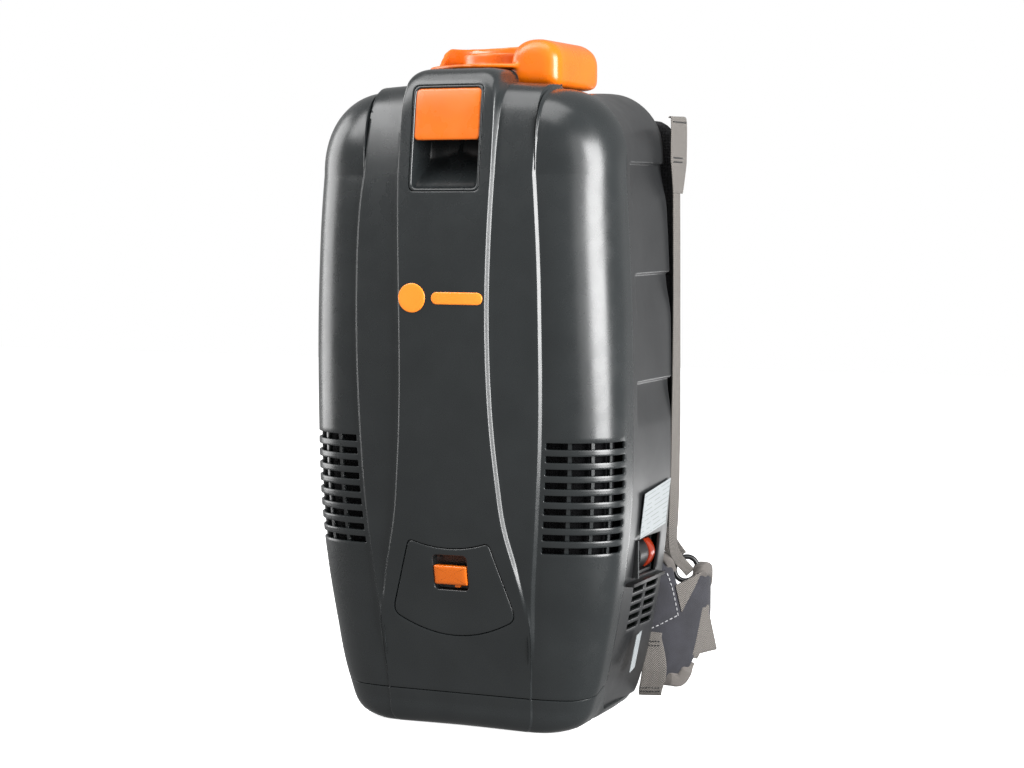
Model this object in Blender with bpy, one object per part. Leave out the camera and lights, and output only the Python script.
"""Backpack vacuum cleaner: hinged front lid over a rear tub, bag chamber above, motor below, harness behind.

Frame: X to the machine's left-to-right as it is faced, Y from the lid towards the wearer, Z up.
The origin lies on the underside of the base tray, on the middle plane, where lid and tub meet.
"""
import math

import bmesh
import bpy
import numpy as np
from mathutils import Vector

# Driving dimensions, in metres
GAP = 0.0003                # clearance between neighbouring pieces
WALL = 0.003                # moulded wall
LID_EDGE_Y = -GAP           # rear edge of the lid
TUB_FRONT = 0.003           # front rim of the tub
TUB_BACK = 0.100            # outer face of the tub's back wall
TUB_BOTTOM = 0.0125
TUB_TOP = 0.527
CROWN_Z = 0.462             # above this height the lid rolls over to the back
TOWER_TOP = 0.549
MIDDLE_TOP = 0.5376
WING_TOP = 0.532            # top of the two outer pontoons
SIDE_FLAT = 0.016           # straight stretch of the lid's side wall
TOWER_REAR = -0.008         # the tower stops short of the hose swivel
LID_PIVOT = (0.0, -0.0425, 0.0308)
SEAM_FRONT, SEAM_SIDE = 0.0302, 0.0422
HATCH_PIVOT_Z = 0.0803      # film hinge on the outer face, along the hatch's lower edge

SWIVEL = (0.0, 0.055)       # axis of the hose elbow
HUB_R, FLANGE_R, SPIGOT_R, BORE_R = 0.035, 0.062, 0.0195, 0.0165
FLANGE_Z = (0.5560, 0.5636)
HUB_TOP = 0.5725
BARREL_X, BARREL_HALF = 0.048, 0.022
BARREL_Y = (0.002, 0.105)
BARREL_Z = (0.5400, 0.5800)

MOTOR = (0.0, 0.0505)       # axis of motor and fan
SHAFT_R = 0.004
PAD_FRONT = 0.1065          # wearer-side pads start here
PAD_BACK = 0.120
STRAP_T = 0.002             # webbing thickness
STEP_LINES = (0.291, 0.381, 0.473)   # the tub's side panels step in just below these heights
STEP_DEPTH, STEP_RUN = 0.003, 0.040

# (height, value) points of the lid's smooth edge lines
HALF_WIDTH = ((0.0, 0.093), (0.004, 0.100), (0.012, 0.106), (0.030, 0.1130), (0.083, 0.125),
              (0.138, 0.1337), (0.185, 0.138), (0.260, 0.1392), (0.330, 0.1385), (0.410, 0.1355), (0.470, 0.1318))
STRIP_HALF = ((0.020, 0.061), (0.100, 0.0640), (0.137, 0.0573), (0.177, 0.048), (0.220, 0.0430), (0.560, 0.0425))
MIDDLE_HALF = ((0.020, 0.0655), (0.107, 0.0690), (0.177, 0.0753), (0.247, 0.0795), (0.327, 0.0808),
               (0.447, 0.0761), (0.487, 0.0715), (0.540, 0.0690))
STRIP_DEPTH = ((0.020, 0.0405), (0.067, 0.0475), (0.117, 0.0560), (0.157, 0.0636), (0.217, 0.0694),
               (0.287, 0.0739), (0.367, 0.0760), (0.447, 0.0721), (0.507, 0.0645), (0.560, 0.0590))
MIDDLE_DEPTH = ((0.020, 0.0395), (0.067, 0.0465), (0.127, 0.0556), (0.177, 0.0605), (0.247, 0.0638),
                (0.367, 0.0677), (0.447, 0.0659), (0.507, 0.0566), (0.560, 0.0500))

CHARCOAL, BLACK, ORANGE = (0.060, 0.068, 0.073), (0.012, 0.012, 0.013), (0.90, 0.22, 0.015)
STEEL, COPPER, GREY_WEB = (0.55, 0.56, 0.58), (0.60, 0.25, 0.10), (0.34, 0.32, 0.30)
FABRIC, PAPER, GREEN, WHITE = (0.060, 0.066, 0.090), (0.62, 0.58, 0.50), (0.03, 0.16, 0.06), (0.74, 0.80, 0.84)


# Helpers

def smooth_curve(z, points):
    """Value at height z on a smooth curve through (height, value) points."""
    heights, values = np.array(points).T
    slopes = np.gradient(values, heights)
    z = float(np.clip(z, heights[0], heights[-1]))
    i = int(np.clip(np.searchsorted(heights, z) - 1, 0, len(heights) - 2))
    run = heights[i + 1] - heights[i]
    t = (z - heights[i]) / run
    return ((2 * t**3 - 3 * t**2 + 1) * values[i] + (t**3 - 2 * t**2 + t) * run * slopes[i]
            + (3 * t**2 - 2 * t**3) * values[i + 1] + (t**3 - t**2) * run * slopes[i + 1])


def fade(z, low, high):
    """0 below low, 1 above high, smooth between."""
    t = min(max((z - low) / (high - low), 0.0), 1.0)
    return t * t * (3 - 2 * t)


def clear_scene():
    for old in list(bpy.data.objects):
        bpy.data.objects.remove(old, do_unlink=True)


def paint(name, colour, roughness=0.5, metallic=0.0):
    material = bpy.data.materials.new(name)
    material.use_nodes = True
    shader = material.node_tree.nodes["Principled BSDF"]
    shader.inputs["Base Color"].default_value = (*colour, 1.0)
    shader.inputs["Roughness"].default_value = roughness
    shader.inputs["Metallic"].default_value = metallic
    return material


def piece(name, shape, colour, roughness=0.5, metallic=0.0, pivot=(0.0, 0.0, 0.0), recalculate=True):
    """One object from (points, faces); its origin sits at pivot."""
    points, faces = shape
    mesh = bpy.data.meshes.new(name)
    mesh.from_pydata([Vector(p) - Vector(pivot) for p in points], [], faces)
    if recalculate:
        work = bmesh.new()
        work.from_mesh(mesh)
        bmesh.ops.remove_doubles(work, verts=work.verts, dist=1e-6)
        bmesh.ops.recalc_face_normals(work, faces=work.faces)
        work.to_mesh(mesh)
        work.free()
    mesh.materials.append(paint(name, colour, roughness, metallic))
    mesh.shade_smooth()
    mesh.set_sharp_from_angle(angle=math.radians(35))
    item = bpy.data.objects.new(name, mesh)
    item.location = pivot
    bpy.context.scene.collection.objects.link(item)
    return item


def helper(name, shape):
    """A hidden shape that other pieces are cut by or joined with."""
    item = piece(name, shape, BLACK)
    item.hide_render = True
    item.display_type = "WIRE"
    return item


def combine(item, operation, *shapes):
    """Cut (DIFFERENCE) or join (UNION) plain shapes with a piece, one Boolean each."""
    for number, shape in enumerate(shapes):
        tool = helper(f"{item.name}_{operation.lower()}_{len(item.modifiers)}_{number}", shape)
        step = item.modifiers.new(tool.name, "BOOLEAN")
        step.operation = operation
        step.object = tool
        step.solver = "EXACT"
    return item


def joined(*shapes):
    """Several shapes as one list of points and faces."""
    points, faces = [], []
    for more_points, more_faces in shapes:
        start = len(points)
        points += list(more_points)
        faces += [tuple(start + i for i in face) for face in more_faces]
    return points, faces


def prism(outline, axis, low, high):
    """A flat outline pushed along X, Y or Z; the outline gives the other two coordinates in order."""
    place = {"X": lambda a, b, h: (h, a, b), "Y": lambda a, b, h: (a, h, b), "Z": lambda a, b, h: (a, b, h)}[axis]
    count = len(outline)
    points = [place(a, b, h) for h in (low, high) for a, b in outline]
    sides = [(i, (i + 1) % count, count + (i + 1) % count, count + i) for i in range(count)]
    return points, [tuple(range(count))[::-1], tuple(range(count, 2 * count))] + sides


def block(x, y, z):
    """A box from three (low, high) pairs."""
    return prism([(x[0], y[0]), (x[1], y[0]), (x[1], y[1]), (x[0], y[1])], "Z", *z)


def rounded(x, z, radius, steps=3):
    """Outline of a rectangle with round corners."""
    centres = ((x[1] - radius, z[1] - radius, 0), (x[0] + radius, z[1] - radius, 90),
               (x[0] + radius, z[0] + radius, 180), (x[1] - radius, z[0] + radius, 270))
    return [(cx + radius * math.cos(math.radians(a + 90 * i / steps)),
             cz + radius * math.sin(math.radians(a + 90 * i / steps)))
            for cx, cz, a in centres for i in range(steps + 1)]


def turned(profile, centre, steps=24, axis="Z"):
    """A closed (radius, height) profile turned round an axis through centre."""
    angles = [2 * math.pi * i / steps for i in range(steps)]
    place = {"Z": lambda r, h, a: (centre[0] + r * math.cos(a), centre[1] + r * math.sin(a), h),
             "Y": lambda r, h, a: (centre[0] + r * math.cos(a), h, centre[1] + r * math.sin(a)),
             "X": lambda r, h, a: (h, centre[0] + r * math.cos(a), centre[1] + r * math.sin(a))}[axis]
    count = len(profile)
    points = [place(r, h, a) for a in angles for r, h in profile]
    faces = []
    for i in range(steps):
        near, far = i * count, (i + 1) % steps * count
        for j in range(count):
            k = (j + 1) % count
            if profile[j][0] < 1e-7 and profile[k][0] < 1e-7:
                continue
            faces.append((near + j, near + k, far + k, far + j))
    return points, faces


def disc(radius, low, high, centre, steps=24, axis="Z"):
    """A plain cylinder."""
    return prism([(centre[0] + radius * math.cos(2 * math.pi * i / steps),
                   centre[1] + radius * math.sin(2 * math.pi * i / steps)) for i in range(steps)],
                 axis, low, high)


def ring(inner, outer, low, high, centre, steps=24, axis="Z"):
    """A plain bush."""
    return turned([(inner, low), (outer, low), (outer, high), (inner, high)], centre, steps, axis)


def loft(rings):
    """Closed rings of equal length skinned in order and capped at both ends."""
    count = len(rings[0])
    points = [p for one in rings for p in one]
    faces = [tuple(range(count))[::-1], tuple(range(len(points) - count, len(points)))]
    for i in range(len(rings) - 1):
        for j in range(count):
            k = (j + 1) % count
            faces.append((i * count + j, i * count + k, (i + 1) * count + k, (i + 1) * count + j))
    return points, faces


def smooth_path(points, spacing=0.012):
    """Evenly spaced points on a Catmull-Rom curve through the given ones."""
    points = np.array(points, float)
    padded = np.vstack([2 * points[0] - points[1], points, 2 * points[-1] - points[-2]])
    fine = []
    for i in range(len(points) - 1):
        a, b, c, d = padded[i:i + 4]
        for t in np.linspace(0, 1, 20, endpoint=False):
            fine.append(0.5 * (2 * b + (c - a) * t + (2 * a - 5 * b + 4 * c - d) * t**2
                               + (3 * b - a - 3 * c + d) * t**3))
    fine = np.array(fine + [points[-1]])
    run = np.concatenate([[0], np.cumsum(np.linalg.norm(np.diff(fine, axis=0), axis=1))])
    wanted = np.linspace(0, run[-1], max(3, round(run[-1] / spacing) + 1))
    return np.stack([np.interp(wanted, run, fine[:, k]) for k in range(3)], axis=1)


def band(path, across, widths, thickness):
    """A flat band along a path: across is the width direction at both ends, widths its (start, middle, end)."""
    count = len(path)
    along = np.gradient(path, axis=0)
    along /= np.linalg.norm(along, axis=1)[:, None]
    t = np.linspace(0, 1, count)[:, None]
    side = (1 - t) * np.array(across[0], float) + t * np.array(across[1], float)
    side -= along * np.sum(side * along, axis=1)[:, None]
    side /= np.linalg.norm(side, axis=1)[:, None]
    up = np.cross(side, along)
    width = np.interp(t[:, 0], [0, 0.5, 1], widths)[:, None] / 2
    half = thickness / 2
    corners = [path - side * width - up * half, path + side * width - up * half,
               path + side * width + up * half, path - side * width + up * half]
    return loft([[tuple(corner[i]) for corner in corners] for i in range(count)])


def mirrored(points, side):
    """Points flipped across the middle plane for the left-hand copy."""
    return [(side * p[0], p[1], p[2]) for p in points]


# Lid

def lid_section(z):
    """Right half of the lid's outline at height z, as (x, depth) from the middle to the side edge."""
    strip, middle = smooth_curve(z, STRIP_HALF), smooth_curve(z, MIDDLE_HALF)
    side = smooth_curve(z, HALF_WIDTH)
    front, shoulder = smooth_curve(z, STRIP_DEPTH), smooth_curve(z, MIDDLE_DEPTH)
    foot = max(shoulder, front - 0.004 * fade(z, 0.095, 0.140))
    wing = shoulder - 0.003 * fade(z, 0.055, 0.100)
    start = middle + 0.003
    points = [(0.0, front), (strip * 0.6, front), (strip, front), (strip + 0.003, foot),
              (middle, shoulder), (start, wing)]
    for angle in np.radians((18, 36, 54, 72, 90)):
        points.append((start + (side - start) * math.sin(angle),
                       SIDE_FLAT + (wing - SIDE_FLAT) * math.cos(angle)))
    return points + [(side, -LID_EDGE_Y)]


def lid_crown(angle):
    """Right half of the lid's outline where it rolls over the top; angle runs from 0 at the front to 90."""
    base = lid_section(CROWN_Z)
    tops = [TOWER_TOP] * 3 + [MIDDLE_TOP, MIDDLE_TOP - 0.002, WING_TOP]
    tops += [CROWN_Z + SIDE_FLAT + (WING_TOP - CROWN_Z - SIDE_FLAT) * math.cos(math.radians(a))
             for a in (18, 36, 54, 72, 90)] + [CROWN_Z]
    powers = [7, 7, 7, 4, 4, 2.8, 2.8, 2.6, 2.4, 2.2, 2.0, 2.0]
    row = []
    for number, ((x, depth), top, power) in enumerate(zip(base, tops, powers)):
        c, s = math.cos(math.radians(angle)), math.sin(math.radians(angle))
        z = CROWN_Z + (top - CROWN_Z) * s ** (2 / power)
        lines = STRIP_DEPTH if number < 3 else MIDDLE_DEPTH
        lean = smooth_curve(z, lines) / smooth_curve(CROWN_Z, lines) if number < 6 else 1.0
        limit = TOWER_REAR if number < 3 else LID_EDGE_Y
        row.append((x, min(-depth * c ** (2 / power) * lean, limit), z))
    return row


def lid_skin():
    """Grid of the lid's outer surface: rows go up the front and over the top."""
    heights = (0.022, 0.050, 0.080, 0.110, 0.140, 0.175, 0.215, 0.265, 0.330, 0.395, 0.435, CROWN_Z)
    rows = [[(x, -depth, z) for x, depth in lid_section(z)] for z in heights]
    rows += [lid_crown(angle) for angle in (12, 28, 45, 62, 78, 90)]
    full = [[(-x, y, z) for x, y, z in row[:0:-1]] + row for row in rows]
    width = len(full[0])
    points = [p for row in full for p in row]
    faces = []
    for i in range(len(full) - 1):
        for j in range(width - 1):
            a = i * width + j
            faces.append((a, a + 1, a + width + 1, a + width))
    return points, faces


def hatch_outline(margin):
    """Outline of the filter hatch: concave top, flared sides, convex bottom."""
    top, bottom = [], []
    for t in np.linspace(-1, 1, 7):
        top.append((t * (0.036 + margin), 0.1545 + 0.0065 * t * t + margin))
        bottom.append((t * (0.0535 + margin), 0.0800 + 0.0160 * t * t - margin))
    return bottom + [(0.0545 + margin, 0.102)] + top[::-1] + [(-0.0545 - margin, 0.102)]


def vent_slots():
    """Nine level slots on each pontoon."""
    slots = []
    for side in (-1, 1):
        x = sorted((side * 0.0860, side * 0.150))
        slots += [block(x, (-0.10, -0.0213), (0.1515 + 0.0112 * i, 0.1567 + 0.0112 * i)) for i in range(9)]
    return joined(*slots)


def seam_block(below):
    """Block below or above the line where lid and base tray meet, seen from the side."""
    gap = GAP if below else 0.0
    line = [(-0.100, SEAM_FRONT + gap), (-0.034, SEAM_FRONT + gap), (-0.018, SEAM_FRONT + 0.003 + gap),
            (-0.008, SEAM_SIDE - 0.004 + gap), (0.010, SEAM_SIDE + gap)]
    far = 0.0 if below else 0.12
    return prism(line + [(0.010, far), (-0.100, far)], "X", -0.16, 0.16)


def add_lid():
    lid = piece("front_lid", lid_skin(), CHARCOAL, 0.45, pivot=LID_PIVOT, recalculate=False)
    merge = bmesh.new()
    merge.from_mesh(lid.data)
    bmesh.ops.remove_doubles(merge, verts=merge.verts, dist=1e-6)
    merge.to_mesh(lid.data)
    merge.free()
    shell = lid.modifiers.new("wall", "SOLIDIFY")
    shell.thickness = WALL
    shell.offset = -1
    tongue = [(-0.0400, 0.0440), (-0.0340, 0.0440), (-0.0340, 0.0270), (-0.0300, 0.0270), (-0.0300, 0.0245),
              (-0.0365, 0.0245), (-0.0365, 0.0330), (-0.0400, 0.0330)]
    hooks = [prism(tongue, "X", x - 0.009, x + 0.009) for x in (-0.055, 0.055)]
    window = prism(rounded((-0.0315, 0.0315), (0.4480, 0.5345), 0.005), "Y", -0.09, -0.04)
    combine(lid, "UNION", joined(*hooks))
    combine(lid, "DIFFERENCE", joined(seam_block(True), vent_slots(), window,
                                      prism(hatch_outline(0.0005), "Y", -0.08, -0.03)))


def add_finger_pocket():
    """The deep pocket under the latch paddle, where the fingers go in."""
    outer = prism([(-0.0590, 0.4500), (-0.0300, 0.4600), (-0.0260, 0.4700), (-0.0260, 0.5210),
                   (-0.0560, 0.5210)], "X", -0.0310, 0.0310)
    pocket = piece("finger_pocket", outer, CHARCOAL, 0.5, pivot=LID_PIVOT)
    combine(pocket, "DIFFERENCE",
            prism([(-0.0900, 0.4430), (-0.0310, 0.4630), (-0.0280, 0.4710), (-0.0280, 0.5190), (-0.0900, 0.5190)],
                  "X", -0.0290, 0.0290))


def add_latch():
    """Paddle that pivots at its top edge, and the bolt that it draws down."""
    pivot = (0.0, -0.0560, 0.5285)
    paddle = prism([(-0.0667, 0.4895), (-0.0637, 0.4895), (-0.0590, 0.5250), (-0.0560, 0.5262),
                    (-0.0545, 0.5285), (-0.0560, 0.5310), (-0.0590, 0.5320), (-0.0622, 0.5320)],
                   "X", -0.0285, 0.0285)
    item = piece("latch_paddle", paddle, ORANGE, 0.4, pivot=pivot)
    combine(item, "DIFFERENCE", disc(0.0013, -0.04, 0.04, (pivot[1] - 0.0012, pivot[2] + 0.0002), 12, "X"))
    piece("latch_pin", disc(0.0010, -0.0305, 0.0305, (pivot[1] - 0.0012, pivot[2] + 0.0002), 10, "X"),
          STEEL, 0.3, 1.0, pivot=LID_PIVOT)
    bolt = [(-0.0220, 0.5000), (0.0120, 0.5000), (0.0120, 0.5085), (0.0090, 0.5085), (0.0090, 0.5030),
            (-0.0190, 0.5030), (-0.0190, 0.5400), (-0.0220, 0.5400)]
    piece("latch_bolt", prism(bolt, "X", -0.012, 0.012), BLACK, 0.5, pivot=(0.0, -0.0205, 0.5200))
    keeper = block((-0.020, 0.020), (0.0035, 0.0065), (0.5050, 0.5233))
    piece("latch_keeper", keeper, STEEL, 0.35, 1.0)


def tube(name, points, radius, colour, roughness=0.5, metallic=0.0, resolution=2):
    """A round wire along a list of points, with closed ends."""
    curve = bpy.data.curves.new(name, "CURVE")
    curve.dimensions = "3D"
    curve.bevel_depth = radius
    curve.bevel_resolution = resolution
    curve.use_fill_caps = True
    spline = curve.splines.new("POLY")
    spline.points.add(len(points) - 1)
    for target, point in zip(spline.points, points):
        target.co = (*point, 1.0)
    curve.materials.append(paint(name, colour, roughness, metallic))
    item = bpy.data.objects.new(name, curve)
    bpy.context.scene.collection.objects.link(item)
    return item


def add_hatch():
    """Filter hatch low on the lid, with its slide latch and the exhaust filter behind it."""
    def lean(z):
        return -smooth_curve(z, STRIP_DEPTH)

    pivot = (0.0, lean(HATCH_PIVOT_Z), HATCH_PIVOT_Z)

    points, faces = prism(hatch_outline(0.0), "Y", 0.0, 1.0)
    points = [(x, lean(z) + WALL * y, z) for x, y, z in points]
    door = piece("hatch_door", (points, faces), CHARCOAL, 0.45, pivot=pivot)
    combine(door, "DIFFERENCE", prism(rounded((-0.0155, 0.0155), (0.1190, 0.1490), 0.002, 2), "Y", -0.08, -0.03))
    slide = [(lean(0.1235), 0.1235), (lean(0.1400), 0.1400), (-0.0500, 0.1400), (-0.0500, 0.1235)]
    latch = piece("hatch_latch", prism(slide, "X", -0.0150, 0.0150), ORANGE, 0.4, pivot=(0.0, -0.0550, 0.1320))
    edge = latch.modifiers.new("edge", "BEVEL")
    edge.width = 0.0008
    edge.segments = 1
    pleats = [(0.0885 + 0.0580 * i / 16, (-0.0385 if i % 2 else -0.0300)) for i in range(17)]
    back = [(z, y + 0.0060) for z, y in pleats[::-1]]
    piece("exhaust_filter", prism([(y, z) for z, y in pleats + back], "X", -0.0425, 0.0425), PAPER, 0.9,
          pivot=LID_PIVOT)


def add_exhaust_foam():
    for side, name in ((1, "right"), (-1, "left")):
        x = sorted((side * 0.0890, side * 0.1180))
        piece(f"exhaust_foam_{name}", prism(rounded(x, (-0.0360, -0.0120), 0.004, 2), "Z", 0.148, 0.250),
              BLACK, 0.95, pivot=LID_PIVOT)


# Base tray and tub

def tray_ring(z, inset):
    """Outline of the tray at height z, drawn in by inset."""
    half, front = smooth_curve(z, HALF_WIDTH) - inset, smooth_curve(max(z, 0.02), STRIP_DEPTH) - inset
    front -= 0.014 * (1 - fade(z, -0.004, 0.016))
    corner = 0.046
    right = [(half - 0.006, 0.0985 - inset), (half - 0.001, 0.020), (half, -0.002)]
    for angle in np.radians((20, 40, 60, 75, 90)):
        right.append((half - corner + corner * math.cos(angle), -0.002 - (front - 0.002) * math.sin(angle)))
    left = [(-x, y) for x, y in right[::-1]]
    return [(x, y, z) for x, y in right + left]


def add_base_tray():
    outer = loft([tray_ring(z, 0.0) for z in (0.0, 0.0015, 0.004, 0.009, 0.016, 0.030, 0.046)])
    tray = piece("base_tray", outer, CHARCOAL, 0.5)
    inner = loft([tray_ring(z, 0.0035) for z in (0.005, 0.009, 0.016, 0.030, 0.060)])
    inner = ([(x, min(y, -0.004), z) for x, y, z in inner[0]], inner[1])
    combine(tray, "DIFFERENCE", seam_block(False),
            block((-0.16, 0.16), (-0.0006, 0.12), (TUB_BOTTOM - GAP, 0.08)), inner)


def side_relief(z):
    """How far the tub's side panel is stepped in at height z."""
    for line in STEP_LINES:
        if line - STEP_RUN < z < line:
            return STEP_DEPTH * (1 - (line - z) / STEP_RUN)
    return 0.0


def tub_ring(y, inset, relief):
    """Closed outline of the tub at depth y."""
    right = [(0.0, TUB_BOTTOM + inset - 0.003), (0.080, TUB_BOTTOM + inset - 0.003)]
    heights = [0.026, 0.070, 0.120, 0.170, 0.250]
    for line in STEP_LINES:
        heights += [line - STEP_RUN, line - 0.0005, line + 0.0015]
    for z in heights:
        right.append((smooth_curve(z, HALF_WIDTH) - inset - (side_relief(z) if relief else 0.0), z))
    corner, height = 0.050, TUB_TOP + 0.003 - inset - 0.478
    middle = right[-1][0] - corner
    for angle in np.radians((22, 45, 68, 90)):
        right.append((middle + corner * math.cos(angle), 0.478 + height * math.sin(angle)))
    right.append((0.0, TUB_TOP + 0.003 - inset))
    left = [(-x, z) for x, z in right[-2:0:-1]]
    return [(x, y, z) for x, z in right + left]


def frame_screw_places():
    return [(x, z) for x in (-0.085, 0.085) for z in (0.210, 0.470)]


def add_rear_housing():
    outer = [tub_ring(TUB_FRONT, 0.003, False), tub_ring(0.016, 0.003, False), tub_ring(0.018, 0.0040, True),
             tub_ring(0.088, 0.0070, True), tub_ring(0.096, 0.0105, True), tub_ring(TUB_BACK, 0.018, True)]
    inner = [tub_ring(0.097, 0.0210, True), tub_ring(0.092, 0.0150, True), tub_ring(0.020, 0.0080, True),
             tub_ring(0.016, 0.0062, False), tub_ring(TUB_FRONT, 0.0060, False)]
    points, faces = loft(outer + inner)
    count = len(outer[0])
    faces[0] = None
    faces[1] = None
    last = len(points) - count
    rim = [(i, (i + 1) % count, last + (i + 1) % count, last + i) for i in range(count)]
    back_out, back_in = (len(outer) - 1) * count, len(outer) * count
    wanted = [f for f in faces if f and not (f[0] >= back_out and f[0] < back_in and f[2] >= back_in)]
    caps = [tuple(range(back_out, back_out + count)), tuple(range(back_in, back_in + count))[::-1]]
    tub = piece("rear_housing", (points, wanted + rim + caps), CHARCOAL, 0.45)
    combine(tub, "UNION", disc(0.0290, 0.5200, 0.5370, SWIVEL, 24),
            block((0.1210, 0.1335), (0.0100, 0.0900), (0.1195, 0.1230)))
    slots = [block((0.10, 0.14), y, (0.0790 + 0.0080 * i, 0.0835 + 0.0080 * i))
             for y in ((0.0330, 0.0580), (0.0630, 0.0880)) for i in range(5)]
    screws = [disc(0.0027, 0.09, 0.11, place, 10, "Y") for place in frame_screw_places()]
    combine(tub, "DIFFERENCE", disc(0.0205, 0.50, 0.56, SWIVEL, 24),
            block((0.1100, 0.1400), (0.0240, 0.0800), (0.1245, 0.1575)),
            block((-0.1400, -0.1100), (0.0350, 0.0700), (0.0850, 0.1150)), joined(*slots), joined(*screws))


def add_gasket():
    rings = [tub_ring(y, inset, False) for y, inset in
             ((GAP, 0.0066), (GAP, 0.0094), (TUB_FRONT - GAP, 0.0094), (TUB_FRONT - GAP, 0.0066))]
    count = len(rings[0])
    points = [p for one in rings for p in one]
    faces = [(i * count + j, i * count + (j + 1) % count,
              (i + 1) % 4 * count + (j + 1) % count, (i + 1) % 4 * count + j)
             for i in range(4) for j in range(count)]
    piece("lid_gasket", (points, faces), BLACK, 0.85)


def add_switch():
    bezel = piece("switch_bezel", prism(rounded((0.0243, 0.0797), (0.1248, 0.1572), 0.002, 2), "X", 0.1080, 0.1265),
                  BLACK, 0.35)
    combine(bezel, "DIFFERENCE", block((0.1120, 0.14), (0.0420, 0.0770), (0.1275, 0.1545)))
    pivot = (0.1180, 0.0600, 0.1410)
    rocker = prism([(0.1240, 0.1290), (0.1275, 0.1410), (0.1260, 0.1530), (0.1160, 0.1530), (0.1160, 0.1290)],
                   "Y", 0.0430, 0.0760)
    piece("power_rocker", rocker, (0.75, 0.16, 0.05), 0.3, pivot=pivot)
    inlet = piece("cord_inlet", prism(rounded((0.0353, 0.0697), (0.0853, 0.1147), 0.003, 2), "X", -0.1240, -0.1080),
                  BLACK, 0.5)
    combine(inlet, "DIFFERENCE", block((-0.14, -0.1110), (0.0400, 0.0650), (0.0900, 0.1100)))


def add_rating_label():
    piece("rating_label", prism(rounded((0.0280, 0.0860), (0.1640, 0.2000), 0.0015, 2), "X", 0.1338, 0.1343),
          WHITE, 0.35)


# Air path and motor

def add_elbow():
    """Hose swivel: closed hub and flange over a spigot, with the hose socket along one side."""
    pivot = (*SWIVEL, 0.5600)
    arch = [(BARREL_X + BARREL_HALF, BARREL_Z[0]), (BARREL_X + BARREL_HALF, BARREL_Z[0] + 0.020)]
    arch += [(BARREL_X + BARREL_HALF * math.cos(a), BARREL_Z[0] + 0.020 + 0.020 * math.sin(a))
             for a in np.radians((22, 45, 68, 90, 112, 135, 158))]
    arch += [(BARREL_X - BARREL_HALF, BARREL_Z[0] + 0.020), (BARREL_X - BARREL_HALF, BARREL_Z[0])]
    elbow = piece("hose_elbow", turned([(0.0, 0.4960), (SPIGOT_R, 0.4960), (SPIGOT_R, 0.5400), (HUB_R, 0.5400),
                                        (HUB_R, FLANGE_Z[0]), (FLANGE_R - 0.003, FLANGE_Z[0]),
                                        (FLANGE_R, FLANGE_Z[0] + 0.003), (FLANGE_R, FLANGE_Z[1]),
                                        (HUB_R, FLANGE_Z[1]), (HUB_R, HUB_TOP - 0.002),
                                        (HUB_R - 0.002, HUB_TOP), (0.0, HUB_TOP)], SWIVEL, 28),
                  ORANGE, 0.35, pivot=pivot)
    wall = []
    for radius in (FLANGE_R - 0.0005, FLANGE_R - 0.0050):
        arc = [(SWIVEL[0] + radius * math.cos(math.radians(a)), SWIVEL[1] + radius * math.sin(math.radians(a)))
               for a in range(30, 181, 15)]
        wall += arc if not wall else arc[::-1]
    combine(elbow, "UNION", prism(arch, "Y", *BARREL_Y), prism(wall, "Z", FLANGE_Z[1] - 0.002, 0.5790))
    bore_z = BARREL_Z[0] + 0.0190
    combine(elbow, "DIFFERENCE", disc(BORE_R, 0.48, 0.5690, SWIVEL, 20),
            disc(0.0125, 0.0, BARREL_X, (0.0450, bore_z - 0.003), 16, "X"),
            disc(0.0165, 0.0300, 0.12, (BARREL_X, bore_z), 20, "Y"))


def add_bag():
    piece("bag_holder", prism(rounded((-0.055, 0.055), (0.018, 0.0940), 0.006, 2), "Z", 0.4920, 0.4950),
          BLACK, 0.5)
    combine(bpy.data.objects["bag_holder"], "DIFFERENCE", disc(0.0150, 0.48, 0.51, SWIVEL, 20))
    piece("bag_collar", prism(rounded((-0.045, 0.045), (0.0200, 0.0900), 0.008, 2), "Z", 0.4887, 0.4917),
          PAPER, 0.9)
    combine(bpy.data.objects["bag_collar"], "DIFFERENCE", disc(0.0150, 0.48, 0.51, SWIVEL, 20))
    rings = []
    for z, scale in ((0.256, 0.70), (0.263, 0.90), (0.285, 1.0), (0.430, 1.0), (0.470, 0.86), (0.4884, 0.55)):
        outline = rounded((-0.108 * scale, 0.108 * scale), (0.028 - 0.058 * scale, 0.028 + 0.058 * scale),
                          0.026 * scale, 3)
        rings.append([(x, y + 0.022 * (1 - scale), z) for x, y in outline])
    bag = piece("dust_bag", loft(rings), PAPER, 0.95)
    combine(bag, "DIFFERENCE", disc(0.0145, 0.4300, 0.50, (SWIVEL[0], 0.0500), 16))


def add_bulkhead():
    outline = [(-0.1285, 0.0075), (0.1285, 0.0075), (0.1220, 0.0900), (-0.1220, 0.0900)]
    plate = piece("bulkhead", prism(outline, "Z", 0.1880, 0.1910), CHARCOAL, 0.6)
    combine(plate, "DIFFERENCE", disc(0.0300, 0.18, 0.20, MOTOR, 20))
    piece("motor_prefilter", block((-0.0580, 0.0580), (0.0140, 0.0860), (0.1920, 0.2100)), (0.05, 0.09, 0.16), 0.95)
    cover = piece("motor_bay_cover", block((-0.100, 0.100), (0.0005, 0.0030), (0.0480, 0.1850)), CHARCOAL, 0.6)
    combine(cover, "DIFFERENCE", *[block((-0.060, 0.060), (-0.01, 0.01), (0.0900 + 0.0140 * i, 0.0970 + 0.0140 * i))
                                   for i in range(4)])


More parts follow.
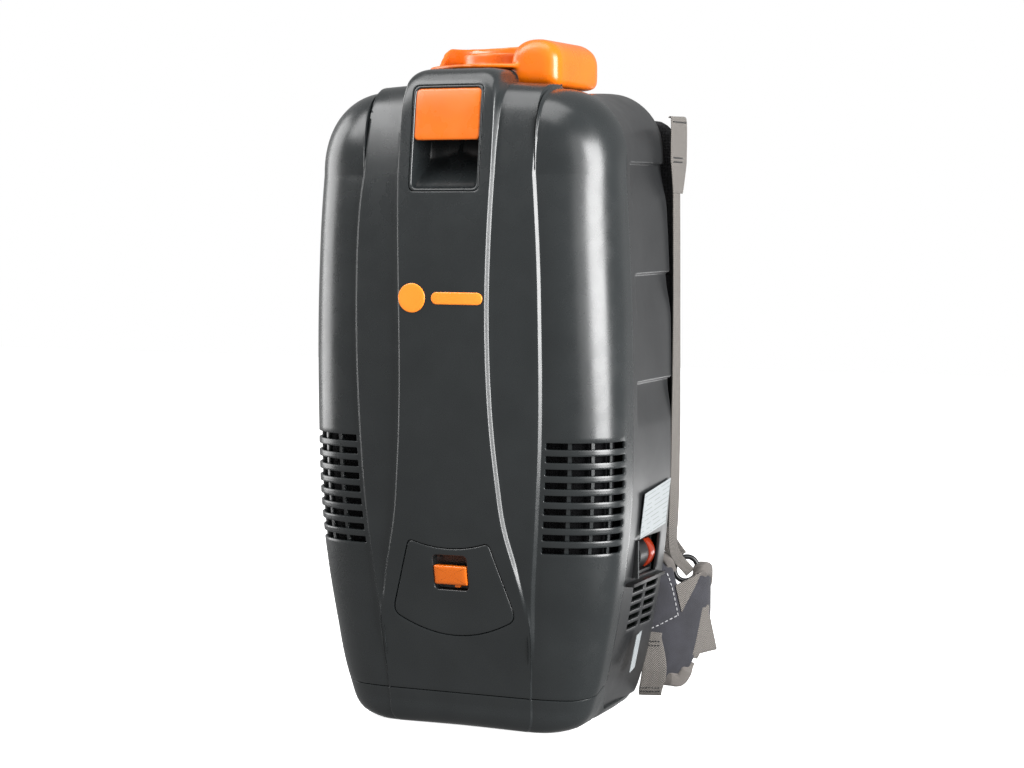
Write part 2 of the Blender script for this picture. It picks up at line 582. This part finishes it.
def add_motor():
    piece("motor_seal_ring", ring(0.0310, 0.0410, 0.1783, 0.1877, MOTOR, 24), BLACK, 0.9)
    piece("fan_housing", turned([(0.0180, 0.1760), (0.0410, 0.1760), (0.0410, 0.1420), (0.0370, 0.1420),
                                 (0.0370, 0.1400), (0.0430, 0.1400), (0.0430, 0.1780), (0.0180, 0.1780)],
                                MOTOR, 28), STEEL, 0.35, 1.0)
    piece("motor_body", turned([(0.0235, 0.0750), (0.0360, 0.0750), (0.0360, 0.1397), (0.0235, 0.1397)],
                               MOTOR, 28), STEEL, 0.4, 1.0)
    piece("motor_end_bracket", turned([(0.0085, 0.0680), (0.0360, 0.0680), (0.0360, 0.0747), (0.0085, 0.0747)],
                                      MOTOR, 24), BLACK, 0.5)
    piece("lower_bearing", ring(0.0043, 0.0082, 0.0685, 0.0745, MOTOR, 16), STEEL, 0.25, 1.0)
    piece("motor_foot", ring(0.0200, 0.0330, 0.0255, 0.0677, MOTOR, 20), BLACK, 0.9)
    piece("rotor_shaft", disc(SHAFT_R, 0.0640, 0.1700, MOTOR, 12), STEEL, 0.25, 1.0, pivot=(*MOTOR, 0.12))
    piece("armature", ring(0.0043, 0.0225, 0.0800, 0.1330, MOTOR, 20), COPPER, 0.4, 1.0, pivot=(*MOTOR, 0.12))
    blades = []
    for i in range(7):
        arc = []
        for radius, turn in ((0.0090, 0), (0.0200, 14), (0.0360, 40)):
            for side in (-1, 1):
                angle = math.radians(i * 360 / 7 + turn + side * 0.055 / radius)
                arc.append((side, MOTOR[0] + radius * math.cos(angle), MOTOR[1] + radius * math.sin(angle)))
        outline = [(x, y) for s, x, y in arc if s < 0] + [(x, y) for s, x, y in arc if s > 0][::-1]
        blades.append(prism(outline, "Z", 0.1500, 0.1650))
    fan = piece("impeller", turned([(0.0043, 0.1450), (0.0380, 0.1450), (0.0380, 0.1515), (0.0110, 0.1515),
                                    (0.0110, 0.1690), (0.0043, 0.1690)], MOTOR, 28), STEEL, 0.3, 1.0,
                pivot=(*MOTOR, 0.12))
    combine(fan, "UNION", joined(*blades))


def add_electrics():
    piece("control_board", block((0.0800, 0.0816), (0.0150, 0.0850), (0.0600, 0.1150)), GREEN, 0.4)
    tube("switch_lead", smooth_path([(0.1072, 0.060, 0.140), (0.098, 0.060, 0.140), (0.090, 0.055, 0.125),
                                     (0.088, 0.050, 0.105), (0.0840, 0.050, 0.098)], 0.006), 0.0018, BLACK, 0.5)


# Harness

def add_back_frame():
    frame = piece("back_frame", prism(rounded((-0.110, 0.110), (0.060, 0.500), 0.020, 3), "Y", 0.1003, 0.1035),
                  BLACK, 0.6)
    screws = [disc(0.0027, 0.09, 0.11, place, 10, "Y") for place in frame_screw_places()]
    combine(frame, "DIFFERENCE", joined(*screws))
    for number, (x, z) in enumerate(frame_screw_places(), 1):
        piece(f"frame_screw_{number}", turned([(0.0, 0.0940), (0.0022, 0.0940), (0.0022, 0.1038), (0.0050, 0.1038),
                                               (0.0045, 0.1060), (0.0, 0.1060)], (x, z), 12, "Y"), STEEL, 0.3, 1.0)


def add_pads():
    pad = piece("back_pad", prism(rounded((-0.138, 0.138), (0.150, 0.512), 0.020, 3), "Y", PAD_FRONT, PAD_BACK),
                FABRIC, 0.95)
    soften = pad.modifiers.new("soft", "BEVEL")
    soften.width = 0.004
    soften.segments = 2
    soften.limit_method = "ANGLE"
    lumbar = piece("lumbar_pad", prism(rounded((-0.095, 0.095), (0.022, 0.135), 0.020, 3), "Y", PAD_FRONT, 0.126),
                   FABRIC, 0.95)
    soften = lumbar.modifiers.new("soft", "BEVEL")
    soften.width = 0.004
    soften.segments = 2
    soften.limit_method = "ANGLE"
    for side, name in ((1, "right"), (-1, "left")):
        wing = smooth_path(mirrored([(0.1010, 0.1160, 0.072), (0.1220, 0.1250, 0.072), (0.1430, 0.1430, 0.071),
                                     (0.1500, 0.1640, 0.069), (0.1470, 0.1880, 0.067)], side), 0.012)
        piece(f"hip_wing_{name}", band(wing, ((0, 0, 1), (0, 0, 1)), (0.100, 0.108, 0.076), 0.010), FABRIC, 0.95)


def add_shoulder_straps():
    for side, name in ((1, "right"), (-1, "left")):
        pad = smooth_path(mirrored([(0.045, 0.1300, 0.497), (0.050, 0.1560, 0.511), (0.058, 0.1810, 0.480),
                                    (0.066, 0.1920, 0.420), (0.074, 0.1900, 0.350), (0.082, 0.1760, 0.280),
                                    (0.088, 0.1580, 0.230)], side), 0.022)
        piece(f"shoulder_strap_{name}", band(pad, ((1, 0, 0), (1, 0, 0.1)), (0.050, 0.060, 0.045), 0.010),
              FABRIC, 0.95)
        lock = prism(rounded((-0.016, 0.016), (0.2020, 0.2260), 0.003, 2), "Y", 0.0, 0.004)
        lock = ([(side * 0.0895 + x, 0.1490 + y + 0.30 * (z - 0.202), z) for x, y, z in lock[0]], lock[1])
        item = piece(f"ladder_lock_{name}", lock, BLACK, 0.4)
        bars = [block((side * 0.0895 - 0.0125, side * 0.0895 + 0.0125), (0.13, 0.17), (z, z + 0.0045))
                for z in (0.2065, 0.2150)]
        combine(item, "DIFFERENCE", joined(*bars))
        web = smooth_path(mirrored([(0.0900, 0.1462, 0.200), (0.098, 0.1420, 0.178), (0.112, 0.1380, 0.158),
                                    (0.128, 0.1365, 0.1460), (0.1420, 0.1380, 0.1420)], side), 0.012)
        piece(f"strap_webbing_{name}", band(web, ((1, 0, 0.1), (0, 0, 1)), (0.022, 0.020, 0.020), STRAP_T),
              GREY_WEB, 0.9)
        hoop = [(side * 0.1530 + side * 0.0070 * math.cos(a), 0.1440 + 0.0110 * math.sin(a), 0.1400)
                for a in np.radians(np.arange(-60, 241, 30))]
        tube(f"strap_ring_{name}", hoop, 0.0022, BLACK, 0.4)


def add_waist_belt():
    for side, name in ((1, "right"), (-1, "left")):
        loop = smooth_path(mirrored([(0.1200, 0.1045, 0.020), (0.1290, 0.1035, 0.022), (0.1400, 0.1030, 0.036),
                                     (0.1420, 0.1030, 0.052), (0.1370, 0.1035, 0.072), (0.1280, 0.1045, 0.082)],
                                    side), 0.009)
        piece(f"side_loop_{name}", band(loop, ((0, 1, 0), (0, 1, 0)), (0.009,) * 3, STRAP_T), GREY_WEB, 0.9)
        web = smooth_path(mirrored([(0.1465, 0.1935, 0.066), (0.1380, 0.2020, 0.066), (0.1150, 0.2060, 0.066),
                                    (0.0800, 0.2060, 0.066), (0.0330, 0.2050, 0.066)], side), 0.02)
        piece(f"waist_webbing_{name}", band(web, ((0, 0, 1), (0, 0, 1)), (0.038,) * 3, STRAP_T), GREY_WEB, 0.9)
    socket = piece("buckle_socket", prism(rounded((-0.0320, 0.0050), (0.0440, 0.0880), 0.006, 2), "Y",
                                          0.1985, 0.2115), BLACK, 0.4)
    combine(socket, "DIFFERENCE", block((-0.0220, 0.02), (0.2015, 0.2085), (0.0490, 0.0830)))
    plug = prism([(0.0052, 0.0440), (0.0320, 0.0440), (0.0320, 0.0880), (0.0052, 0.0880), (0.0052, 0.0810),
                  (-0.0180, 0.0810), (-0.0180, 0.0740), (0.0052, 0.0740), (0.0052, 0.0580), (-0.0180, 0.0580),
                  (-0.0180, 0.0510), (0.0052, 0.0510)], "Y", 0.2025, 0.2075)
    piece("buckle_plug", plug, BLACK, 0.4, pivot=(0.0, 0.2050, 0.0660))


def build():
    clear_scene()
    for step in (add_lid, add_finger_pocket, add_latch, add_hatch, add_exhaust_foam, add_base_tray,
                 add_rear_housing, add_gasket, add_switch, add_rating_label,
                 add_elbow, add_bag, add_bulkhead, add_motor,
                 add_electrics, add_back_frame, add_pads, add_shoulder_straps, add_waist_belt):
        step()


build()
